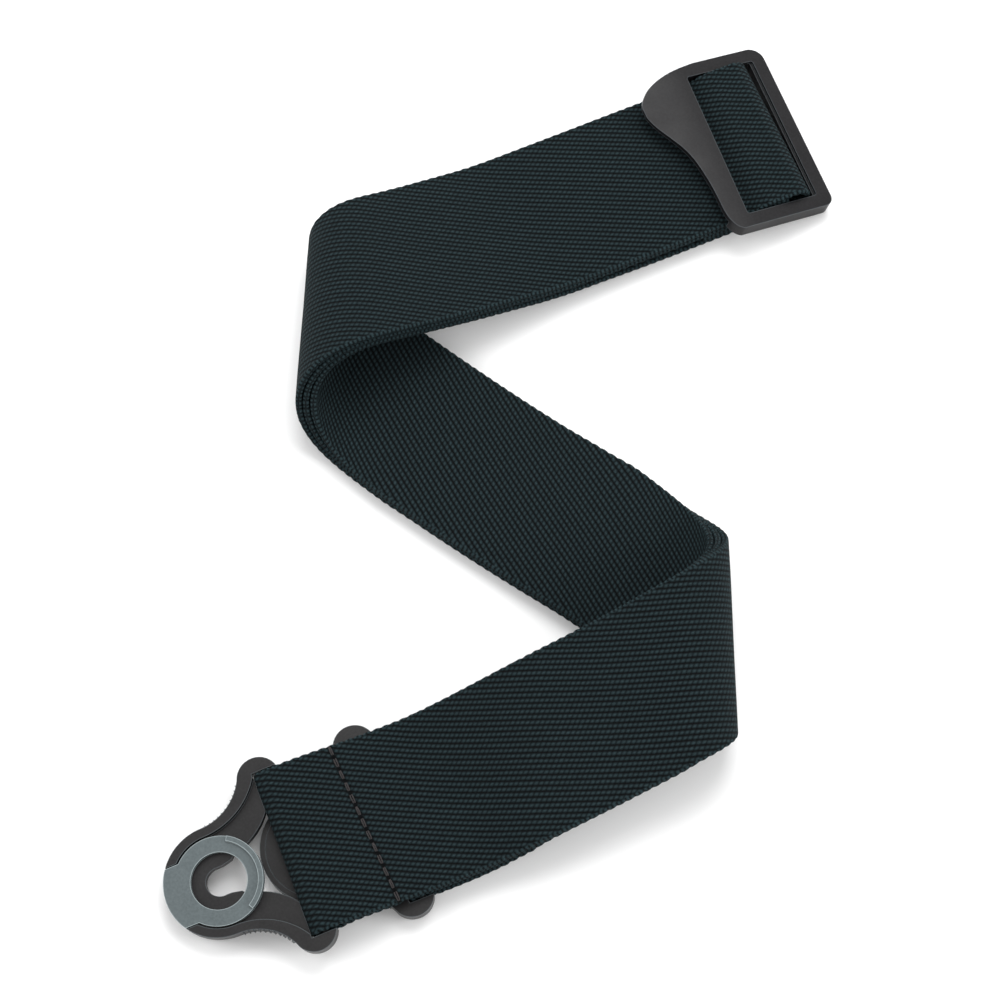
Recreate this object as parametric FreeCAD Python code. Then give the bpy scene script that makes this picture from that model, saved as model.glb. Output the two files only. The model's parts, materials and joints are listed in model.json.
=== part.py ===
import FreeCAD, Part
import math
import os

from FreeCAD import Matrix, Placement, Rotation, Vector

# A guitar strap: one length of woven webbing with a self-locking moulded end at each end
# of its run and a slider that sets the length. It lies folded in a Z, three plies deep.
#
# Frame: origin on the floor under the middle of the Z, +Z up, millimetres. The middle run
# lies on the floor. The strap then turns up and over at each side: the upper run goes to
# the slider, the lower run to the two locks.
#
# The plies are one surface and its offsets. It is a strip of narrow flat facets, each creased
# against the next along a straight ruling, so it unrolls flat, as webbing does. A frame of it
# has a point, the directions along and across the webbing, the way out of it, and the lean of
# the ruling: r = across + tan(lean) along.

# ---------------------------------------------------------------- driving dimensions
WEB_WIDTH = 50.0
WEB_THICK = 2.0
PLY_GAP = 0.2               # air between plies that lie on each other
MOVE_GAP = 0.3              # air between bodies that move against each other
SEAT_GAP = 0.15             # air under the sliding gate
FLOOR_GAP = 0.05            # the lower lock's nose just clears the floor

# middle of the middle run, and where it points
MIDDLE_X = 15.96
MIDDLE_Y = -14.77
MIDDLE_HEADING = -32.73

# The strap on each side of that middle. Lengths in mm, bends and leans in radians, drift
# (its slow sideways curve) in radians per metre.
LOCK_SIDE = dict(
    flat=33.0, turn=65.1, run=80.25,
    turn_bend=3.249, run_bends=(-0.1316, 0.3419, -0.3643),
    flat_lean=-0.509, turn_leans=(-0.805, -0.321), run_leans=(-0.068, -0.384, 0.162),
    drifts=(2.00, -1.46, -1.26), twist=0.0093)
SLIDER_SIDE = dict(
    flat=74.0, turn=65.5, run=91.59,
    turn_bend=3.380, run_bends=(-0.0861, -0.210, -0.0213),
    flat_lean=-0.505, turn_leans=(-0.782, -0.288), run_leans=(0.081, 0.274, 0.119),
    drifts=(1.12, -0.45, -0.19), twist=0.0452)
FLAT_FACET = 6.0            # widths of the facets
TURN_FACET = 2.2
RUN_FACETS = 15             # a multiple of the three bends of a run
LEAN_EASE = 20.0            # the lean changes over this length before a turn
DRIFT_EASE = 5.0
SLOPE_STEP = 0.01           # for the slope of a height curve

# locks
LOCK_THICK = 4.2
BACK_THICK = 0.9            # closing plate on the back
GATE_THICK = 1.6
NOSE_R = 16.1
SEAT_R = 4.15               # neck of a strap button
RING_BORE_R = 8.2
RING_R = 12.9
RIM_R = 13.5                # inside of the frame's rim round the ring
TAB_HALF = 9.0              # half width of the gate's thumb tab
TAB_SLOT_GAP = 0.3
LIP_WIDTH = 1.5             # raised crescent on the ring
LIP_HEIGHT = 0.75
LIP_HALF_ANGLE = 60.0
LOCK_BAR_R = 1.3
LOCK_BAR_X = 22.9           # webbing bar, from the ring's centre
EAR_R = 6.3
EAR_X = 20.5
EAR_INSET = 2.0             # the ear's centre, from its inner side
FLANK_ANGLE = 16.7          # where the flank meets the ear's round
GRIP_COUNT = 11
GRIP_HEIGHT = 0.5
GRIP_INSET = 0.4            # the ribs stop this far short of both faces
SPRING_R = 0.5
CHANNEL_Y = 9.8             # spring channels, from the middle line
CHANNEL_START = -7.3
CHANNEL_END = 4.0
CHANNEL_DEPTH = 1.15
CHANNEL_HALF = 0.8
SLIT_HALF = 0.5             # the channel's narrow mouth towards the ring
LUG_LENGTH = 1.6
BACK_RIM = 1.6              # the frame's rim round the closing plate
BACK_END = (9.6, 8.9)       # inner corner of the closing plate's legs
GATE_TRAVEL = 6.0
LOCK_OVERLAP = 29.0         # the face-down lock lies this far back along the strap
TOP_LOCK_TILT = 6.0
TOP_LOCK_BAR_Z = 8.45
LOCK_END_X = 57.0           # where the plies become the straight end piece
LOCK_END_Z = 9.0            # height of the top ply there

# slider
SLIDER_BAR_R = 1.3
SLIDER_BAR_X = 2.0
SLIDER_TILT = 14.0
SLIDER_TOP = 3.6            # top of the rails, over the bar's axis
SIDE_GAP = 0.5              # between the webbing's edge and a rail
RAIL_WIDTH = 4.4
RAIL_START_X = -13.2        # the wing's outline leaves the rails here and at RAIL_END_X
RAIL_END_X = -6.5
CROSS_WIDTH = 5.3           # the plain bar that closes the window
CROSS_SKEW = 1.6            # it is set slantwise, and so is the wing's inner edge
CROSS_CORNERS = (3.0, 4.6)  # its outer radii, near and far
WINDOW_R = 0.8
LEDGE_WIDTH = 0.9           # step along the plain bar's inner edge
LEDGE_DEPTH = 0.8
WING_INNER_X = -10.5
WING_SKEW = 2.4
WING_TIP_X = -28.2
WING_DROOP = 2.6            # the wing's tip, below the rails' top
WING_THICK = 2.2            # at the inner edge
WING_TIP_THICK = 1.2
SLIDER_TURN_X = 7.0         # centre of the webbing's turn inside the window
SLIDER_END_X = -30.0
LOCK_RAMP = (4.0, 3.0)       # the top ply rises between these distances from the bar and the run
FLAP_RAMP = (1.0, 11.0)      # the sewn flap rises to the top ply here, measured from the bar
SLIDER_RAMP = (-10.0, 0.0)  # the plies rise over the bar here
SLIDER_FLAP = 26.0
LOCK_FLAP_END = 46.0

# ---------------------------------------------------------------- derived
HALF_WIDTH = WEB_WIDTH / 2
PITCH = WEB_THICK + PLY_GAP
FLOOR_PLY_Z = WEB_THICK / 2                     # middle of a ply that lies on the floor
LOCK_LOOP_R = LOCK_BAR_R + MOVE_GAP + WEB_THICK / 2
UNDER_LOCK_BAR_Z = FLOOR_PLY_Z + LOCK_LOOP_R
SLIDER_LOOP_R = SLIDER_BAR_R + MOVE_GAP + WEB_THICK / 2
SLIDER_BAR_Z = FLOOR_PLY_Z + PITCH + SLIDER_LOOP_R
SLIDER_END_Z = FLOOR_PLY_Z + 3 * PITCH
LOCK_BAR_Z = LOCK_THICK / 2
GATE_Z = LOCK_THICK - GATE_THICK
BASE_TOP = GATE_Z - SEAT_GAP
EAR_IN = HALF_WIDTH + MOVE_GAP
EAR_Y = EAR_IN - EAR_INSET
WEB_PLATE_X = LOCK_BAR_X - LOCK_LOOP_R - WEB_THICK / 2 - MOVE_GAP
LUG_START = CHANNEL_START + MOVE_GAP
LUG_END = LUG_START + LUG_LENGTH
OVER_BAR_Z = SLIDER_BAR_Z + SLIDER_LOOP_R + PITCH           # top ply where it crosses the bar
SLIDER_TURN_R = (OVER_BAR_Z - FLOOR_PLY_Z) / 2
WINDOW_HALF = HALF_WIDTH + SIDE_GAP
RAIL_Y = WINDOW_HALF + RAIL_WIDTH
CROSS_X = SLIDER_TURN_X - SLIDER_BAR_X + SLIDER_TURN_R + WEB_THICK / 2 + MOVE_GAP

X, Y, Z = Vector(1, 0, 0), Vector(0, 1, 0), Vector(0, 0, 1)


# ---------------------------------------------------------------- small helpers
def export(name, shape):
    """One STEP file per node."""
    shape.exportStep("parts/" + name + ".step")


def smoothstep(u):
    u = min(max(u, 0.0), 1.0)
    return u * u * (3 - 2 * u)


def ease(x, x0, x1, v0, v1):
    """v0 up to x0, v1 from x1 on, with a smooth S between."""
    return v0 + (v1 - v0) * smoothstep((x - x0) / (x1 - x0))


def piecewise(x, xs, vs):
    """Straight-line interpolation through the points (xs, vs)."""
    for x0, x1, v0, v1 in zip(xs, xs[1:], vs, vs[1:]):
        if x <= x1:
            return v0 + (v1 - v0) * max(x - x0, 0.0) / (x1 - x0)
    return vs[-1]


def steps(x0, x1, count):
    return [x0 + (x1 - x0) * k / count for k in range(count + 1)]


def spline(points):
    curve = Part.BSplineCurve()
    curve.interpolate([Vector(*p) for p in points])
    return curve.toShape()


def line(p, q):
    return Part.makeLine(Vector(*p), Vector(*q))


def bent(*points):
    return Part.makePolygon([Vector(*p) for p in points])


def arc(p, q, r):
    return Part.Arc(Vector(*p), Vector(*q), Vector(*r)).toShape()


def prism(edges, z0, z1):
    """The closed plan outline, standing from z0 to z1."""
    face = Part.Face(Part.Wire(Part.__sortEdges__(edges)))
    face.translate(Z * z0)
    return face.extrude(Z * (z1 - z0))


def box(x0, x1, y0, y1, z0, z1):
    return Part.makeBox(x1 - x0, y1 - y0, z1 - z0, Vector(x0, y0, z0))


def ring(outer, inner, z0, z1):
    whole = Part.makeCylinder(outer, z1 - z0, Z * z0)
    return whole.cut(Part.makeCylinder(inner, z1 - z0, Z * z0))


def axes_placement(origin, x_axis, y_axis, z_axis):
    matrix = Matrix(x_axis.x, y_axis.x, z_axis.x, origin.x,
                    x_axis.y, y_axis.y, z_axis.y, origin.y,
                    x_axis.z, y_axis.z, z_axis.z, origin.z, 0, 0, 0, 1)
    return Placement(matrix)


def placed(shape, placement):
    moved = shape.copy()
    moved.Placement = placement.multiply(moved.Placement)
    return moved


# ---------------------------------------------------------------- the folded surface
def turned(v, axis, angle):
    return Rotation(axis, math.degrees(angle)).multVec(v)


def bump(u):
    """A gentle bend that starts and ends softly: its mean over 0..1 is 1."""
    return 1 - math.cos(2 * math.pi * u)


def arch(u):
    """A full fold, rounder than a bump: its mean over 0..1 is 1."""
    return math.pi / 2 * math.sin(math.pi * u)


def side_length(side):
    return side["flat"] + side["turn"] + side["run"]


def bend_rate(side, s):
    """Radians per mm about the ruling, at s along the webbing from the middle."""
    start = side["flat"]
    end = start + side["turn"]
    if s < start:
        return 0.0
    if s < end:
        return side["turn_bend"] / side["turn"] * arch((s - start) / side["turn"])
    third = side["run"] / 3
    part = min(int((s - end) / third), 2)
    return side["run_bends"][part] / third * bump((s - end) / third - part)


def lean_at(side, s):
    start = side["flat"]
    end = start + side["turn"]
    third = side["run"] / 3
    stops = [0, max(start - LEAN_EASE, 1), start, end]
    stops += [end + third * k for k in (0.5, 1.5, 2.5, 3)]
    leans = [side["flat_lean"], side["flat_lean"], *side["turn_leans"], *side["run_leans"], 0.0]
    return piecewise(s, stops, leans)


def drift_at(side, s):
    """Radians per mm in the webbing's own plane."""
    start = side["flat"]
    end = start + side["turn"]
    stops = [0, start - DRIFT_EASE, start + DRIFT_EASE, end - DRIFT_EASE, end + DRIFT_EASE,
             side_length(side)]
    rates = [rate for rate in side["drifts"] for _ in range(2)]
    return piecewise(s, stops, rates) / 1000


def twist_rate(side, s):
    """Slight twist of the run, so that its end lies level."""
    return side["twist"] / side["run"] if s > side["flat"] + side["turn"] else 0.0


def strip(side, point, along, across):
    """Frames from the middle outwards, as three lists: the flat, the turn and the run."""
    s = 0.0
    groups = []
    for length, count in ((side["flat"], math.ceil(side["flat"] / FLAT_FACET)),
                          (side["turn"], math.ceil(side["turn"] / TURN_FACET)),
                          (side["run"], RUN_FACETS)):
        step = length / count
        frames = [(s, point, along, across, -along.cross(across), math.tan(lean_at(side, s)))]
        for _ in range(count):
            crease = s + step / 2
            swing = drift_at(side, crease) * step
            normal = -along.cross(across)
            along = turned(along, normal, swing)
            across = turned(turned(across, normal, swing), along, twist_rate(side, crease) * step)
            lean = lean_at(side, crease)
            ruling = across * math.cos(lean) + along * math.sin(lean)
            half = -bend_rate(side, crease) * step / 2
            mitre = turned(-along.cross(across), ruling, half) / math.cos(half)
            point = point + along * (step / 2)
            frames.append((crease, point, along, across, mitre, math.tan(lean)))
            along = turned(along, ruling, 2 * half)
            across = turned(across, ruling, 2 * half)
            point = point + along * (step / 2)
            s += step
        frames.append((s, point, along, across, -along.cross(across), math.tan(lean_at(side, s))))
        groups.append(frames)
    return groups


def section(frame, offset):
    """The four corners of the ply's cross-section along a ruling."""
    _, point, along, across, out, lean = frame
    rule = (across + along * lean) * HALF_WIDTH
    low, high = out * (offset - WEB_THICK / 2), out * (offset + WEB_THICK / 2)
    return [point + rule + high, point + rule + low, point - rule + low, point - rule + high]


def four_sided(a, b, c, d):
    """Two triangles, because a facet whose ply opens out is very slightly warped."""
    return [Part.Face(Part.makePolygon([a, b, c, a])), Part.Face(Part.makePolygon([a, c, d, a]))]


def ply_solid(frames, offset_of):
    """Solid webbing at offset_of(s) from the master surface, flat from crease to crease."""
    sections = [section(frame, offset_of(frame[0])) for frame in frames]
    faces = four_sided(*sections[0]) + four_sided(*sections[-1])
    for here, ahead in zip(sections, sections[1:]):
        for k in range(4):
            faces += four_sided(here[k], here[k - 1], ahead[k - 1], ahead[k])
    shell = Part.Shell(faces)
    shell.sewShape()
    return Part.Solid(shell).removeSplitter()


# A ribbon is webbing that lies straight across y. Its path is a list of (kind, points), and
# each point is (x, z, nx, nz): the middle of the webbing and the way to its outer face.
def straight(x0, x1, z, outer=1):
    return line, [(x0, z, 0, outer), (x1, z, 0, outer)]


def curved(height, x0, x1, count, outer=1):
    """The webbing from x0 to x1, its middle at height(x)."""
    points = []
    for x in steps(x0, x1, count):
        slope = (height(x + SLOPE_STEP) - height(x - SLOPE_STEP)) / (2 * SLOPE_STEP)
        length = math.hypot(slope, 1)
        points.append((x, height(x), -outer * slope / length, outer / length))
    return bent, points


def half_turn(x, z, radius, side):
    """Half circle round (x, z) from top to bottom, bulging to side -1 or 1."""
    ways = [(0, 1), (side, 0), (0, -1)]
    return arc, [(x + radius * nx, z + radius * nz, nx, nz) for nx, nz in ways]


def ribbon(path):
    """The webbing along the path: its side view, extruded across its width."""
    edges, starts, ends = [], [], []
    for reach in (WEB_THICK / 2, -WEB_THICK / 2):
        for i, (kind, points) in enumerate(path):
            face_points = [(x + nx * reach, -HALF_WIDTH, z + nz * reach) for x, z, nx, nz in points]
            edges += kind(*face_points).Edges
            if i == 0:
                starts.append(face_points[0])
        ends.append(face_points[-1])
    edges += [line(*starts), line(*ends)]
    face = Part.Face(Part.Wire(Part.__sortEdges__(edges)))
    return face.extrude(Y * WEB_WIDTH)


# ---------------------------------------------------------------- lock
# Local frame: x towards the webbing, y across, z out of the front. Origin in the middle of
# the ring, on the back face.
MOUTH = [(6.3, 6.0, 0), (13.6, 8.9, 0), (WEB_PLATE_X, 14.0, 0)]
JAW = [(2.0, SEAT_R, 0), (5.0, 4.8, 0), (6.3, 6.0, 0)]


def hollow(start_y, end):
    """Arc that leaves (0, start_y) along x and hollows out to the point end."""
    rise = end[1] - start_y
    radius = (end[0] ** 2 + rise ** 2) / (2 * rise)
    turn = math.atan2(end[0], radius - rise) / 2
    middle = (radius * math.sin(turn), start_y + radius * (1 - math.cos(turn)), 0)
    return arc((0, start_y, 0), middle, end)


def on_ear(degrees):
    """Point on the ear's round, the angle measured from the nose's side."""
    angle = math.radians(degrees)
    return (EAR_X - EAR_R * math.cos(angle), EAR_Y + EAR_R * math.sin(angle), 0)


FLANK = hollow(NOSE_R, on_ear(FLANK_ANGLE))
RIM_FLANK = hollow(RIM_R, (WEB_PLATE_X + 0.6, EAR_IN, 0))


def far_end(edge):
    return tuple(edge.Vertexes[-1].Point)


def ear_edges():
    """The lobe that carries one end of the webbing bar, from the flank to its inner side."""
    reach = math.sqrt(EAR_R ** 2 - (EAR_IN - EAR_Y) ** 2)
    tip = (EAR_X + reach, EAR_IN, 0)
    top = (EAR_X, EAR_Y + EAR_R, 0)
    return [arc(far_end(FLANK), top, tip), line(tip, (WEB_PLATE_X, EAR_IN, 0)),
            line((WEB_PLATE_X, EAR_IN, 0), MOUTH[-1])]


def half_outline():
    """Outline of the frame on the +y side, from the nose to the seat."""
    return [FLANK, *ear_edges(), arc(*MOUTH), line(MOUTH[0], JAW[1]), line(JAW[1], JAW[0]),
            line(JAW[0], (0, SEAT_R, 0))]


def both_sides(edges):
    mirror = [edge.mirror(Vector(), Y) for edge in edges]
    return edges + mirror


def frame_outline():
    nose = arc((0, NOSE_R, 0), (-NOSE_R, 0, 0), (0, -NOSE_R, 0))
    seat = arc((0, SEAT_R, 0), (-SEAT_R, 0, 0), (0, -SEAT_R, 0))
    return both_sides(half_outline()) + [nose, seat]


def rim_pocket():
    """The room inside the frame's rim: round the ring, widening to the webbing."""
    nose = arc((0, RIM_R, 0), (-RIM_R, 0, 0), (0, -RIM_R, 0))
    far = EAR_X + 2 * EAR_R
    side = [RIM_FLANK, line(far_end(RIM_FLANK), (far, EAR_IN, 0))]
    return both_sides(side) + [nose, line((far, EAR_IN, 0), (far, -EAR_IN, 0))]


def grip_ribs():
    """Fine V-ribs down the hollow of each flank, for finger and thumb."""
    ribs = []
    centre = FLANK.Curve.Center
    for at in FLANK.discretize(Number=GRIP_COUNT + 2)[1:-1]:
        out = (centre - at).normalize() * GRIP_HEIGHT
        foot = Z.cross(out)
        corners = [at + out, at + foot - out, at - foot - out, at + out]
        edges = Part.makePolygon(corners).Edges
        rib = prism(edges, GRIP_INSET, LOCK_THICK - GRIP_INSET)
        ribs += [rib, rib.mirror(Vector(), Y)]
    return ribs


def lock_frame():
    body = prism(frame_outline(), 0, LOCK_THICK)
    body = body.cut(prism(rim_pocket(), BASE_TOP, LOCK_THICK + 1))
    slot = TAB_HALF + TAB_SLOT_GAP
    body = body.cut(box(-NOSE_R - 1, 0, -slot, slot, BASE_TOP, LOCK_THICK + 1))
    body = body.cut(back_plate())
    for side in (1, -1):
        body = body.cut(spring_channel(side))
    bar_end = EAR_IN + LOCK_BAR_R
    bar = Part.makeCylinder(LOCK_BAR_R, 2 * bar_end, Vector(LOCK_BAR_X, -bar_end, LOCK_BAR_Z), Y)
    return body.fuse([bar, *grip_ribs()]).removeSplitter()


def back_plate():
    """Closing plate: it fills its bed in the frame's back, short of the rim and the seat."""
    nose, seat = NOSE_R - BACK_RIM, SEAT_R + BACK_RIM
    reach, inner = BACK_END
    side = [line((0, nose, 0), (reach, nose, 0)), line((reach, nose, 0), (reach, inner, 0)),
            line((reach, inner, 0), (0, seat, 0))]
    ends = [arc((0, r, 0), (-r, 0, 0), (0, -r, 0)) for r in (nose, seat)]
    return prism(both_sides(side) + ends, 0, BACK_THICK)


def spring_channel(side):
    """Channel that guides the gate's lug and houses its return spring."""
    y = side * CHANNEL_Y
    top = BACK_THICK + CHANNEL_DEPTH
    room = box(CHANNEL_START, CHANNEL_END, y - CHANNEL_HALF, y + CHANNEL_HALF, BACK_THICK, top)
    slit = box(CHANNEL_START, CHANNEL_END, y - SLIT_HALF, y + SLIT_HALF, BACK_THICK, BASE_TOP)
    return room.fuse(slit)


def lip():
    """Raised crescent on the ring's webbing side."""
    whole = ring(RING_R, RING_R - LIP_WIDTH, LOCK_THICK, LOCK_THICK + LIP_HEIGHT)
    far = 2 * RING_R
    half = far * math.tan(math.radians(LIP_HALF_ANGLE))
    wedge = [line((0, 0, 0), (far, half, 0)), line((far, half, 0), (far, -half, 0)),
             line((far, -half, 0), (0, 0, 0))]
    return whole.common(prism(wedge, LOCK_THICK, LOCK_THICK + LIP_HEIGHT))


def gate():
    """Ring and thumb tab in one, with the lip that closes on the button's head."""
    body = ring(RING_R, RING_BORE_R, GATE_Z, LOCK_THICK)
    tab = ring(NOSE_R, RING_BORE_R, GATE_Z, LOCK_THICK)
    tab = tab.common(box(-NOSE_R, 0, -TAB_HALF, TAB_HALF, GATE_Z, LOCK_THICK))
    return body.fuse([tab, lip(), gate_lug(1), gate_lug(-1)]).removeSplitter()


def gate_lug(side):
    """T-shaped lug under the ring: its foot runs in the channel and pushes the spring."""
    y = side * CHANNEL_Y
    neck, foot = SLIT_HALF - SEAT_GAP, CHANNEL_HALF - SEAT_GAP
    low, high = BACK_THICK + SEAT_GAP, BACK_THICK + CHANNEL_DEPTH - SEAT_GAP
    stem = box(LUG_START, LUG_END, y - neck, y + neck, low, GATE_Z + GATE_THICK / 2)
    return stem.fuse(box(LUG_START, LUG_END, y - foot, y + foot, low, high))


def return_springs():
    z = BACK_THICK + CHANNEL_DEPTH / 2
    coils = [Part.makeCylinder(SPRING_R, CHANNEL_END - LUG_END, Vector(LUG_END, side * CHANNEL_Y, z), X)
             for side in (1, -1)]
    return Part.makeCompound(coils)


# ---------------------------------------------------------------- slider
# Local frame: x along the webbing towards the end of the strap, y across, z up. Origin at
# the middle of the webbing bar.
# the wing's edge, from one rail round to the other: (x, share of the rails' outer y)
WING = [(RAIL_END_X, 1.0), (-13.5, 0.97), (-20.2, 0.91), (-25.4, 0.81), (WING_TIP_X, 0.66),
        (-27.7, 0.48), (-25.0, 0.27), (-21.7, 0.03), (-20.0, -0.25), (-19.5, -0.62),
        (-19.0, -0.86), (-17.0, -0.975), (RAIL_START_X, -1.0)]


def rounding(before, at, after, radius):
    """Arc that rounds the corner at, between its two neighbours."""
    back, on = (before - at).normalize(), (after - at).normalize()
    half = back.getAngle(on) / 2
    reach = radius / math.tan(half)
    centre = at + (back + on).normalize() * (radius / math.sin(half))
    return arc(at + back * reach, centre + (at - centre).normalize() * radius, at + on * reach)


def joined(arcs):
    """The arcs, with straight edges from each to the next and from the last to the first."""
    loop = []
    for here, ahead in zip(arcs, arcs[1:] + arcs[:1]):
        loop += [here, line(here.Vertexes[-1].Point, ahead.Vertexes[0].Point)]
    return loop


def slider_outline():
    """Plan of the slider: a flared wing on the strap side, a plain bar on the other."""
    wing = spline([(x, share * RAIL_Y, 0) for x, share in WING])
    near = Vector(CROSS_X + CROSS_WIDTH, -RAIL_Y, 0)
    far = Vector(CROSS_X + CROSS_WIDTH + CROSS_SKEW, RAIL_Y, 0)
    start, end = (Vector(*vertex.Point) for vertex in (wing.Vertexes[-1], wing.Vertexes[0]))
    return joined([wing, rounding(start, near, far, CROSS_CORNERS[0]),
                   rounding(near, far, end, CROSS_CORNERS[1])])


def slider_window(widened=0.0):
    """Plan of the window that the webbing passes through, widened towards the plain bar."""
    far_x = CROSS_X + widened
    corners = [Vector(WING_INNER_X, WINDOW_HALF, 0), Vector(far_x + CROSS_SKEW, WINDOW_HALF, 0),
               Vector(far_x, -WINDOW_HALF, 0), Vector(WING_INNER_X - WING_SKEW, -WINDOW_HALF, 0)]
    return joined([rounding(corners[k - 1], corners[k], corners[(k + 1) % 4], WINDOW_R)
                   for k in range(4)])


def wing_arc(depth, tip_depth):
    """The wing's crown seen from the side, this far under its top."""
    middle = (depth + tip_depth) / 2 + WING_DROOP / 4
    inner, tip = SLIDER_TOP - depth, SLIDER_TOP - WING_DROOP - tip_depth
    return [(WING_TIP_X, 0, tip), ((WING_TIP_X + WING_INNER_X) / 2, 0, SLIDER_TOP - middle),
            (WING_INNER_X, 0, inner)]


def across_slider(points, far_x, low, half):
    """Closed side view: the arc, level on to far_x and back along low; solid to half in y."""
    tip, inner = points[0], points[-1]
    corners = [inner, (far_x, 0, inner[2]), (far_x, 0, low), (tip[0], 0, low), tip]
    edges = [arc(*points)] + [line(a, b) for a, b in zip(corners, corners[1:])]
    face = Part.Face(Part.Wire(edges))
    face.translate(Y * -half)
    return face.extrude(Y * 2 * half)


def slider_frame():
    far_x = CROSS_X + CROSS_WIDTH + CROSS_SKEW
    body = prism(slider_outline(), -SLIDER_BAR_R, SLIDER_TOP)
    body = body.common(across_slider(wing_arc(0, 0), far_x, -SLIDER_BAR_R, RAIL_Y))
    body = body.cut(prism(slider_window(), -SLIDER_BAR_R, SLIDER_TOP))
    body = body.cut(prism(slider_window(LEDGE_WIDTH), SLIDER_TOP - LEDGE_DEPTH, SLIDER_TOP))
    room = across_slider(wing_arc(WING_THICK, WING_TIP_THICK), WING_INNER_X + WING_SKEW,
                         -SLIDER_BAR_R, WINDOW_HALF)
    bar_half = WINDOW_HALF + RAIL_WIDTH / 2
    bar = Part.makeCylinder(SLIDER_BAR_R, 2 * bar_half, Vector(0, -bar_half, 0), Y)
    return body.cut(room).fuse(bar).removeSplitter()


# ---------------------------------------------------------------- straight end pieces
def top_lock_height(x):
    """Middle of the top ply, rising over the face-down lock to the top lock's bar."""
    level = TOP_LOCK_BAR_Z + LOCK_LOOP_R
    return ease(x, LOCK_BAR_X + LOCK_RAMP[0], LOCK_END_X - LOCK_RAMP[1], level, LOCK_END_Z)


def lock_flap_height(x):
    """The sewn-back end: from under the bar up to lie against the top ply."""
    under = TOP_LOCK_BAR_Z - LOCK_LOOP_R
    start, end = (LOCK_BAR_X + share for share in FLAP_RAMP)
    return ease(x, start, end, under, top_lock_height(x) - PITCH)


def lock_loop_path():
    """Top ply to the top lock, round its bar and back as the sewn flap."""
    return [curved(top_lock_height, LOCK_END_X, LOCK_BAR_X, 7),
            half_turn(LOCK_BAR_X, TOP_LOCK_BAR_Z, LOCK_LOOP_R, -1),
            curved(lock_flap_height, LOCK_BAR_X, LOCK_FLAP_END, 7, -1)]


def under_lock_loop_path():
    """Bottom ply round the face-down lock's bar and back as the inner ply."""
    bar_x = LOCK_BAR_X + LOCK_OVERLAP
    return [straight(LOCK_END_X, bar_x, UNDER_LOCK_BAR_Z + LOCK_LOOP_R),
            half_turn(bar_x, UNDER_LOCK_BAR_Z, LOCK_LOOP_R, -1),
            straight(bar_x, LOCK_END_X, UNDER_LOCK_BAR_Z - LOCK_LOOP_R, -1)]


def top_slider_height(x):
    return ease(x, *SLIDER_RAMP, SLIDER_END_Z, OVER_BAR_Z)


def over_slider_path():
    start, end = SLIDER_RAMP[0] - SLOPE_STEP, SLIDER_RAMP[1] + SLOPE_STEP
    return [straight(SLIDER_END_X, start, top_slider_height(start)),
            curved(top_slider_height, start, end, 6),
            straight(end, SLIDER_TURN_X, top_slider_height(end))]


def under_it(run):
    """The same run one ply further in."""
    kind, points = run
    return kind, [(x - nx * PITCH, z - nz * PITCH, nx, nz) for x, z, nx, nz in points]


def slider_turn_path():
    """The webbing turns down inside the window and back under everything."""
    return [half_turn(SLIDER_TURN_X, FLOOR_PLY_Z + SLIDER_TURN_R, SLIDER_TURN_R, 1)]


def slider_loop_path():
    """Inner ply round the slider's bar and back as the sewn flap."""
    level, ramp, _ = over_slider_path()
    ramp_end, high = SLIDER_RAMP[1] + SLOPE_STEP, SLIDER_BAR_Z + SLIDER_LOOP_R
    flap_end = SLIDER_BAR_X - SLIDER_FLAP
    return [under_it(level), under_it(ramp), straight(ramp_end, SLIDER_BAR_X, high),
            half_turn(SLIDER_BAR_X, SLIDER_BAR_Z, SLIDER_LOOP_R, 1),
            straight(SLIDER_BAR_X, flap_end, SLIDER_BAR_Z - SLIDER_LOOP_R, -1)]


# ---------------------------------------------------------------- assembly
def strap_sides():
    heading = math.radians(MIDDLE_HEADING)
    along = Vector(math.cos(heading), math.sin(heading), 0)
    across = Vector(-math.sin(heading), math.cos(heading), 0)
    middle = Vector(MIDDLE_X, MIDDLE_Y, FLOOR_PLY_Z)
    return (strip(LOCK_SIDE, middle, along, across),
            strip(SLIDER_SIDE, middle, -along, -across))


def backwards(frames):
    """Frames of the slider side as seen from the lock side: s and the directions change sign."""
    return [(-s, p, -t, -b, n, lean) for s, p, t, b, n, lean in reversed(frames)]


def ply_offset(order, end_offset):
    """Offset of a ply: its place in the stack, opening out to end_offset at the strap's end."""
    def law(side_name, s):
        side = LOCK_SIDE if side_name == "lock" else SLIDER_SIDE
        length = side_length(side)
        return -ease(s, length - side["run"], length, order * PITCH, end_offset[side_name])
    return law


PLIES = {
    "top_ply": ply_offset(0, dict(lock=0.0, slider=0.0)),
    "inner_ply": ply_offset(1, dict(
        lock=LOCK_END_Z - UNDER_LOCK_BAR_Z - LOCK_LOOP_R, slider=PITCH)),
    "bottom_ply": ply_offset(2, dict(
        lock=LOCK_END_Z - FLOOR_PLY_Z, slider=SLIDER_END_Z - FLOOR_PLY_Z)),
}


def export_plies(lock_side, slider_side):
    lock_flat, lock_turn, lock_run = lock_side
    slider_flat, slider_turn, slider_run = slider_side
    middle = backwards(slider_flat)[:-1] + lock_flat[1:]
    for name, law in PLIES.items():
        pieces = [
            ("upper_run", slider_run, lambda s: law("slider", s)),
            ("upper_turn", slider_turn, lambda s: law("slider", s)),
            ("middle_run", middle, lambda s: law("lock", abs(s))),
            ("lower_turn", lock_turn, lambda s: law("lock", s)),
            ("lower_run", lock_run, lambda s: law("lock", s)),
        ]
        for piece, frames, offset in pieces:
            export(name + "_" + piece, ply_solid(frames, offset))


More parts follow.
